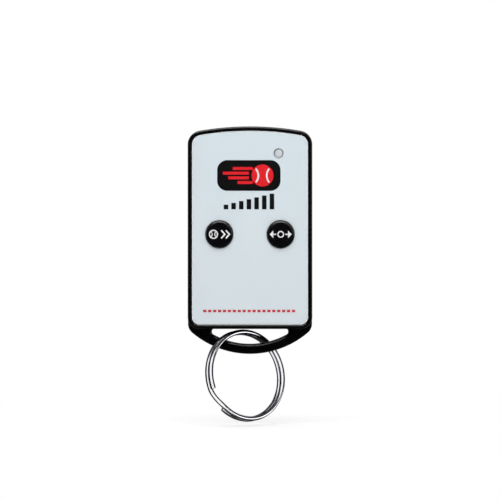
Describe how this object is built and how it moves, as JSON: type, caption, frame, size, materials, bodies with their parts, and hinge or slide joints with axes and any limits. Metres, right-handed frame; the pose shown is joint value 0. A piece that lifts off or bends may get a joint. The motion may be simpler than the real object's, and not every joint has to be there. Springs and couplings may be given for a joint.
{
  "type": "tennis ball machine remote control",
  "caption": "Hand-held key-fob remote control for a tennis ball machine: a slim case with press buttons, an indicator lamp and a split key ring in a slotted tab.",
  "frame": {"origin": "centre of the flat back face of the case", "axes": "+Y out of the back face, the buttons face -Y; +Z towards the end of the case away from the key ring; +X to the right as the buttons are seen"},
  "size_m": [0.0374, 0.0185, 0.0887],
  "materials": {
    "case_plastic": "satin, fine moulded texture",
    "plate_film": "satin printed film",
    "button_plastic": "semi-gloss",
    "clear_resin": "clear, polished",
    "ring_nickel": "bright nickel plate",
    "screw_steel": "zinc plate",
    "cell_steel": "fine brushed",
    "spring_steel": "nickel plate",
    "tinned_metal": "tinned, dull",
    "copper": "bare copper",
    "board_laminate": "green solder mask",
    "chip_plastic": "moulded, matt",
    "ceramic_body": "matt",
    "label_paper": "matt, blank"
  },
  "bodies": {
    "case": {"front_shell": "case_plastic", "rear_shell": "case_plastic", "faceplate": "plate_film", "rear_label": "label_paper", "case_screw_left": "screw_steel", "case_screw_right": "screw_steel", "feed_switch_body": "chip_plastic", "sweep_switch_body": "chip_plastic", "led_lens": "clear_resin", "led_anode_lead": "tinned_metal", "led_cathode_lead": "tinned_metal", "circuit_board": "board_laminate", "coin_cell": "cell_steel", "battery_clip": "spring_steel", "battery_contact": "tinned_metal", "loop_antenna": "copper", "resonator_can": "tinned_metal", "encoder_chip": "chip_plastic", "transmitter_chip": "chip_plastic", "led_resistor": "ceramic_body", "supply_capacitor": "ceramic_body", "tuning_capacitor": "ceramic_body", "coupling_capacitor": "ceramic_body"},
    "feed_button": {"feed_button": "button_plastic"},
    "sweep_button": {"sweep_button": "button_plastic"},
    "feed_plunger": {"feed_switch_plunger": "button_plastic"},
    "sweep_plunger": {"sweep_switch_plunger": "button_plastic"},
    "key_ring": {"split_ring": "ring_nickel"}
  },
  "joints": [
    {"name": "feed_press", "type": "slide", "parent": "case", "child": "feed_button", "axis": [0, 1, 0], "range_m": [0, 0.0003], "stiffness_N_per_m": 100},
    {"name": "sweep_press", "type": "slide", "parent": "case", "child": "sweep_button", "axis": [0, 1, 0], "range_m": [0, 0.0003], "stiffness_N_per_m": 100},
    {"name": "feed_plunger_travel", "type": "slide", "parent": "case", "child": "feed_plunger", "axis": [0, 1, 0], "range_m": [0, 0.0003]},
    {"name": "sweep_plunger_travel", "type": "slide", "parent": "case", "child": "sweep_plunger", "axis": [0, 1, 0], "range_m": [0, 0.0003]},
    {"name": "ring_swing", "type": "hinge", "parent": "case", "child": "key_ring", "pos_m": [0, -0.0072, -0.0365], "axis": [1, 0, 0], "range_deg": [-11, 66]}
  ],
  "couplings": [
    {"joint": "feed_plunger_travel", "follows": "feed_press", "ratio": 1},
    {"joint": "sweep_plunger_travel", "follows": "sweep_press", "ratio": 1}
  ]
}
